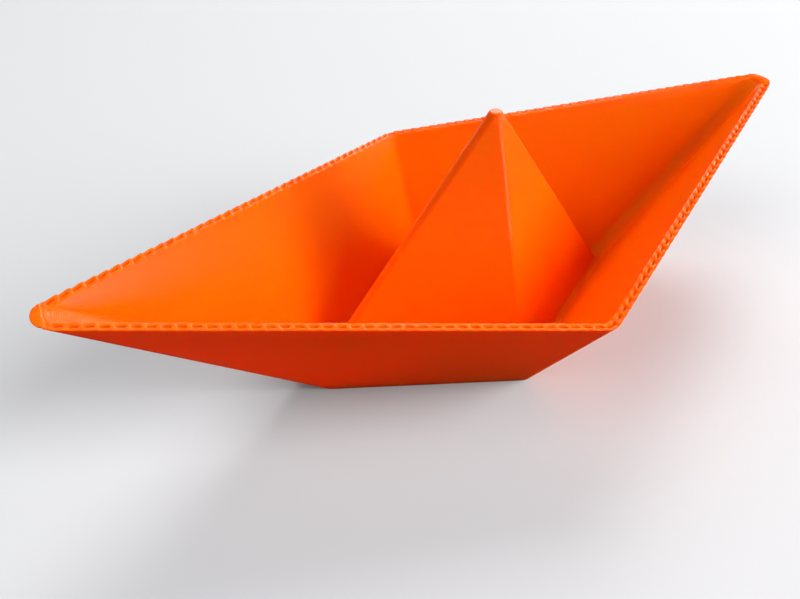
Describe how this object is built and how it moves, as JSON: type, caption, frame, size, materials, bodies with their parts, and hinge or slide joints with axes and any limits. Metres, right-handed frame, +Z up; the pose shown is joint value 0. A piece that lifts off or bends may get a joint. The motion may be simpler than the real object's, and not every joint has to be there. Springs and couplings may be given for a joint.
{
  "type": "origami sailboat",
  "caption": "Small open boat in the form of a folded paper boat, printed in orange plastic, with a pyramid sail amidships, sharp raised ends and a finely stepped rim.",
  "frame": {"origin": "centre of the base ring, on the plane the boat stands on", "axes": "+X from amidships to one sharp end, +Y across to one side, +Z up along the sail"},
  "size_m": [0.1306, 0.06, 0.0411],
  "materials": {
    "orange_plastic": "layer-printed plastic, satin, with fine level layer lines on every sloping face"
  },
  "bodies": {
    "root": {"boat": "orange_plastic"}
  },
  "joints": []
}
